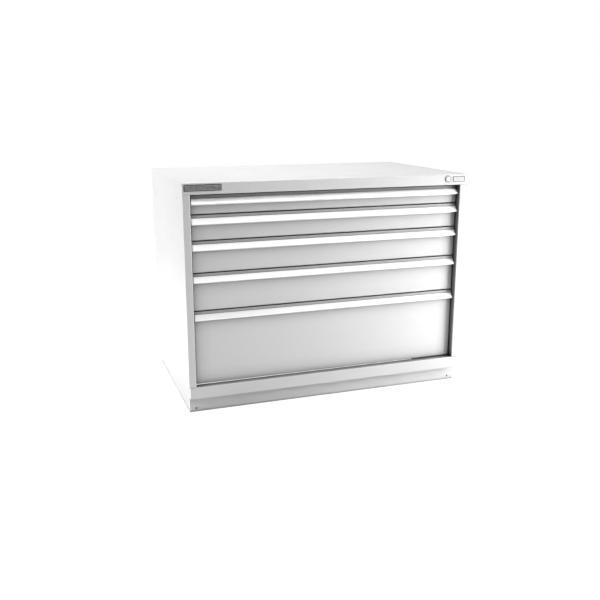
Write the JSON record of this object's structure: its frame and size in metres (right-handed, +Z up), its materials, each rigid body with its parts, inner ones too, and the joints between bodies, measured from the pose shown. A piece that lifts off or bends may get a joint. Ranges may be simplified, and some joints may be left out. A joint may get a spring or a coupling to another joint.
{
  "type": "flat file cabinet",
  "caption": "Low wide sheet-steel drawer cabinet on a recessed base: full-width drawers of rising depth with pull handles on telescopic roller slides, and a key lock that bars them together.",
  "frame": {"origin": "on the floor, under the middle of the cabinet", "axes": "+Z up, the drawers open towards -Y, +X to the right of a person facing the drawers"},
  "size_m": [1.194, 0.73, 0.911],
  "materials": {
    "powder_coat": "light grey powder coat, semi-gloss with a fine orange-peel texture",
    "tray_coat": "light grey powder coat inside the drawers",
    "anodised_aluminium": "satin anodised extrusion with fine lengthwise draw lines",
    "label_strip": "blank paper strip under a clear cover",
    "zinc_steel": "zinc-plated, lightly brushed",
    "roller_steel": "turned steel",
    "zinc_screws": "zinc-plated screws",
    "nylon": "off-white nylon",
    "lock_chrome": "satin chrome ring",
    "lock_brass_nickel": "nickel-plated plug",
    "nameplate_enamel": "dark enamel with a pale border, blank",
    "lock_plate": "small blank number plate"
  },
  "bodies": {
    "cabinet": {"left_side_panel": "powder_coat", "right_side_panel": "powder_coat", "back_panel": "powder_coat", "back_screws": "zinc_screws", "top_panel": "powder_coat", "bottom_panel": "powder_coat", "bottom_rail": "powder_coat", "kick_plate": "powder_coat", "base_side_rails": "powder_coat", "base_rear_rail": "powder_coat", "uprights": "zinc_steel", "drawer_rails": "zinc_steel", "rail_glides": "nylon", "lock_cylinder": "lock_chrome", "lock_bar_guides": "nylon", "nameplate": "nameplate_enamel", "lock_label": "lock_plate"},
    "drawer_1": {"drawer_1_tray": "tray_coat", "drawer_1_front": "powder_coat", "drawer_1_handle": "anodised_aluminium", "drawer_1_label": "label_strip", "drawer_1_runners": "zinc_steel"},
    "drawer_1_carriage": {"drawer_1_carriage": "zinc_steel"},
    "drawer_1_front_rollers": {"drawer_1_front_rollers": "roller_steel"},
    "drawer_1_rear_rollers": {"drawer_1_rear_rollers": "roller_steel"},
    "drawer_2": {"drawer_2_tray": "tray_coat", "drawer_2_front": "powder_coat", "drawer_2_handle": "anodised_aluminium", "drawer_2_label": "label_strip", "drawer_2_runners": "zinc_steel"},
    "drawer_2_carriage": {"drawer_2_carriage": "zinc_steel"},
    "drawer_2_front_rollers": {"drawer_2_front_rollers": "roller_steel"},
    "drawer_2_rear_rollers": {"drawer_2_rear_rollers": "roller_steel"},
    "drawer_3": {"drawer_3_tray": "tray_coat", "drawer_3_front": "powder_coat", "drawer_3_handle": "anodised_aluminium", "drawer_3_label": "label_strip", "drawer_3_runners": "zinc_steel"},
    "drawer_3_carriage": {"drawer_3_carriage": "zinc_steel"},
    "drawer_3_front_rollers": {"drawer_3_front_rollers": "roller_steel"},
    "drawer_3_rear_rollers": {"drawer_3_rear_rollers": "roller_steel"},
    "drawer_4": {"drawer_4_tray": "tray_coat", "drawer_4_front": "powder_coat", "drawer_4_handle": "anodised_aluminium", "drawer_4_label": "label_strip", "drawer_4_runners": "zinc_steel"},
    "drawer_4_carriage": {"drawer_4_carriage": "zinc_steel"},
    "drawer_4_front_rollers": {"drawer_4_front_rollers": "roller_steel"},
    "drawer_4_rear_rollers": {"drawer_4_rear_rollers": "roller_steel"},
    "drawer_5": {"drawer_5_tray": "tray_coat", "drawer_5_front": "powder_coat", "drawer_5_handle": "anodised_aluminium", "drawer_5_label": "label_strip", "drawer_5_runners": "zinc_steel"},
    "drawer_5_carriage": {"drawer_5_carriage": "zinc_steel"},
    "drawer_5_front_rollers": {"drawer_5_front_rollers": "roller_steel"},
    "drawer_5_rear_rollers": {"drawer_5_rear_rollers": "roller_steel"},
    "lock_plug": {"lock_plug": "lock_brass_nickel", "lock_cam": "zinc_steel"},
    "lock_bar": {"lock_bar": "zinc_steel"}
  },
  "joints": [
    {"name": "drawer_1_slide", "type": "slide", "parent": "cabinet", "child": "drawer_1", "axis": [0, -1, 0], "range_m": [0, 0.6]},
    {"name": "drawer_1_carriage_slide", "type": "slide", "parent": "cabinet", "child": "drawer_1_carriage", "axis": [0, -1, 0], "range_m": [0, 0.3]},
    {"name": "drawer_1_front_rollers_spin", "type": "hinge", "parent": "drawer_1_carriage", "child": "drawer_1_front_rollers", "pos_m": [0, -0.274, 0.8135], "axis": [1, 0, 0], "range_deg": [0, 1440]},
    {"name": "drawer_1_rear_rollers_spin", "type": "hinge", "parent": "drawer_1_carriage", "child": "drawer_1_rear_rollers", "pos_m": [0, 0.31, 0.8135], "axis": [1, 0, 0], "range_deg": [0, 1440]},
    {"name": "drawer_2_slide", "type": "slide", "parent": "cabinet", "child": "drawer_2", "axis": [0, -1, 0], "range_m": [0, 0.6]},
    {"name": "drawer_2_carriage_slide", "type": "slide", "parent": "cabinet", "child": "drawer_2_carriage", "axis": [0, -1, 0], "range_m": [0, 0.3]},
    {"name": "drawer_2_front_rollers_spin", "type": "hinge", "parent": "drawer_2_carriage", "child": "drawer_2_front_rollers", "pos_m": [0, -0.274, 0.7135], "axis": [1, 0, 0], "range_deg": [0, 1440]},
    {"name": "drawer_2_rear_rollers_spin", "type": "hinge", "parent": "drawer_2_carriage", "child": "drawer_2_rear_rollers", "pos_m": [0, 0.31, 0.7135], "axis": [1, 0, 0], "range_deg": [0, 1440]},
    {"name": "drawer_3_slide", "type": "slide", "parent": "cabinet", "child": "drawer_3", "axis": [0, -1, 0], "range_m": [0, 0.6]},
    {"name": "drawer_3_carriage_slide", "type": "slide", "parent": "cabinet", "child": "drawer_3_carriage", "axis": [0, -1, 0], "range_m": [0, 0.3]},
    {"name": "drawer_3_front_rollers_spin", "type": "hinge", "parent": "drawer_3_carriage", "child": "drawer_3_front_rollers", "pos_m": [0, -0.274, 0.5885], "axis": [1, 0, 0], "range_deg": [0, 1440]},
    {"name": "drawer_3_rear_rollers_spin", "type": "hinge", "parent": "drawer_3_carriage", "child": "drawer_3_rear_rollers", "pos_m": [0, 0.31, 0.5885], "axis": [1, 0, 0], "range_deg": [0, 1440]},
    {"name": "drawer_4_slide", "type": "slide", "parent": "cabinet", "child": "drawer_4", "axis": [0, -1, 0], "range_m": [0, 0.6]},
    {"name": "drawer_4_carriage_slide", "type": "slide", "parent": "cabinet", "child": "drawer_4_carriage", "axis": [0, -1, 0], "range_m": [0, 0.3]},
    {"name": "drawer_4_front_rollers_spin", "type": "hinge", "parent": "drawer_4_carriage", "child": "drawer_4_front_rollers", "pos_m": [0, -0.274, 0.4385], "axis": [1, 0, 0], "range_deg": [0, 1440]},
    {"name": "drawer_4_rear_rollers_spin", "type": "hinge", "parent": "drawer_4_carriage", "child": "drawer_4_rear_rollers", "pos_m": [0, 0.31, 0.4385], "axis": [1, 0, 0], "range_deg": [0, 1440]},
    {"name": "drawer_5_slide", "type": "slide", "parent": "cabinet", "child": "drawer_5", "axis": [0, -1, 0], "range_m": [0, 0.6]},
    {"name": "drawer_5_carriage_slide", "type": "slide", "parent": "cabinet", "child": "drawer_5_carriage", "axis": [0, -1, 0], "range_m": [0, 0.3]},
    {"name": "drawer_5_front_rollers_spin", "type": "hinge", "parent": "drawer_5_carriage", "child": "drawer_5_front_rollers", "pos_m": [0, -0.274, 0.1385], "axis": [1, 0, 0], "range_deg": [0, 1440]},
    {"name": "drawer_5_rear_rollers_spin", "type": "hinge", "parent": "drawer_5_carriage", "child": "drawer_5_rear_rollers", "pos_m": [0, 0.31, 0.1385], "axis": [1, 0, 0], "range_deg": [0, 1440]},
    {"name": "lock_plug_turn", "type": "hinge", "parent": "cabinet", "child": "lock_plug", "pos_m": [0.512, -0.362, 0.892], "axis": [0, 1, 0], "range_deg": [0, 90]},
    {"name": "lock_bar_slide", "type": "slide", "parent": "cabinet", "child": "lock_bar", "axis": [0, 0, 1], "range_m": [0, 0.008]}
  ],
  "couplings": [
    {"joint": "drawer_1_carriage_slide", "follows": "drawer_1_slide", "ratio": 0.5},
    {"joint": "drawer_1_front_rollers_spin", "follows": "drawer_1_slide", "rad_per_m": 41.667},
    {"joint": "drawer_1_rear_rollers_spin", "follows": "drawer_1_slide", "rad_per_m": 41.667},
    {"joint": "drawer_2_carriage_slide", "follows": "drawer_2_slide", "ratio": 0.5},
    {"joint": "drawer_2_front_rollers_spin", "follows": "drawer_2_slide", "rad_per_m": 41.667},
    {"joint": "drawer_2_rear_rollers_spin", "follows": "drawer_2_slide", "rad_per_m": 41.667},
    {"joint": "drawer_3_carriage_slide", "follows": "drawer_3_slide", "ratio": 0.5},
    {"joint": "drawer_3_front_rollers_spin", "follows": "drawer_3_slide", "rad_per_m": 41.667},
    {"joint": "drawer_3_rear_rollers_spin", "follows": "drawer_3_slide", "rad_per_m": 41.667},
    {"joint": "drawer_4_carriage_slide", "follows": "drawer_4_slide", "ratio": 0.5},
    {"joint": "drawer_4_front_rollers_spin", "follows": "drawer_4_slide", "rad_per_m": 41.667},
    {"joint": "drawer_4_rear_rollers_spin", "follows": "drawer_4_slide", "rad_per_m": 41.667},
    {"joint": "drawer_5_carriage_slide", "follows": "drawer_5_slide", "ratio": 0.5},
    {"joint": "drawer_5_front_rollers_spin", "follows": "drawer_5_slide", "rad_per_m": 41.667},
    {"joint": "drawer_5_rear_rollers_spin", "follows": "drawer_5_slide", "rad_per_m": 41.667},
    {"joint": "lock_plug_turn", "follows": "lock_bar_slide", "rad_per_m": 196.35}
  ]
}
